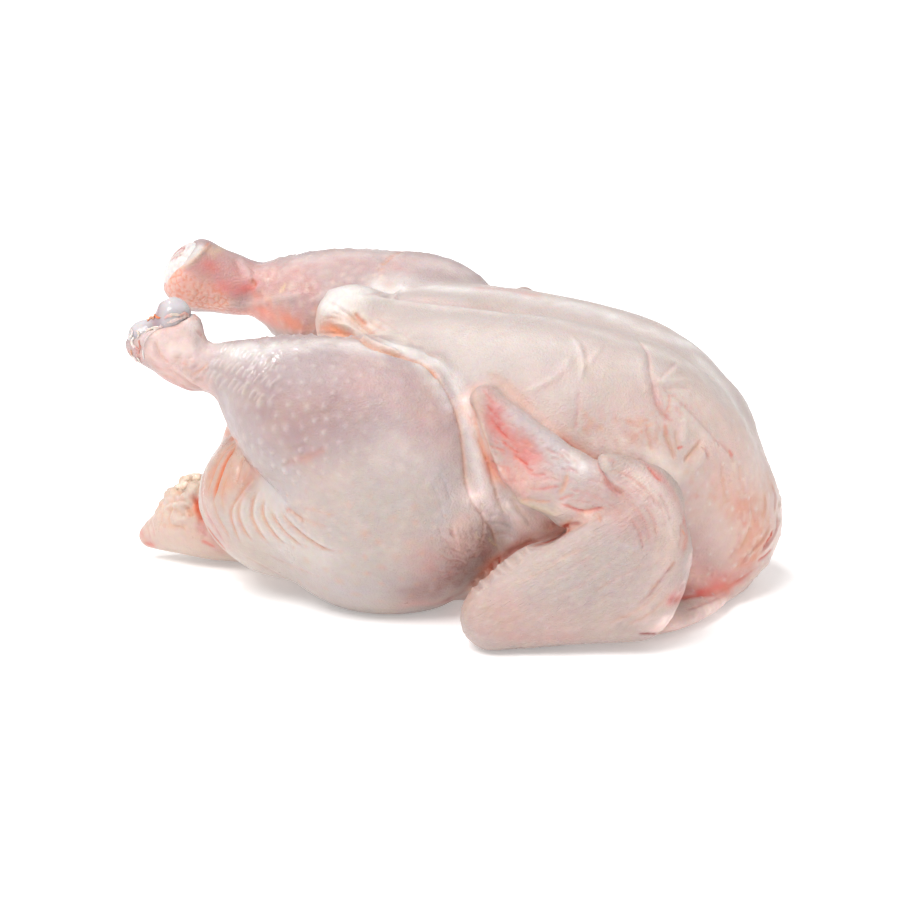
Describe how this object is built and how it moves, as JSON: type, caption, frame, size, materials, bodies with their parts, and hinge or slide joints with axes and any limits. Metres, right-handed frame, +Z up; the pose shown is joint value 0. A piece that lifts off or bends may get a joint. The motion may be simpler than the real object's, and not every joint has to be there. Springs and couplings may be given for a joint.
{
  "type": "whole raw chicken",
  "caption": "Oven-ready raw chicken on its back, legs raised, wings folded at the sides, a flap of neck skin in front and a stubby tail behind.",
  "frame": {"origin": "bottom centre of the bounding box, on the surface that the bird lies on", "axes": "+X towards the neck, -X towards the legs and tail, +Z up through the breast, which faces up"},
  "size_m": [0.257, 0.1872, 0.1216],
  "materials": {
    "skin": "moist pale pink skin with goose bumps and soft wet highlights",
    "cartilage": "wet bluish-white joint cartilage",
    "bone": "sawn bone end with pink-red marrow"
  },
  "bodies": {
    "root": {"chicken": "skin", "near_hock_cartilage": "cartilage", "far_hock_bone": "bone"}
  },
  "joints": []
}
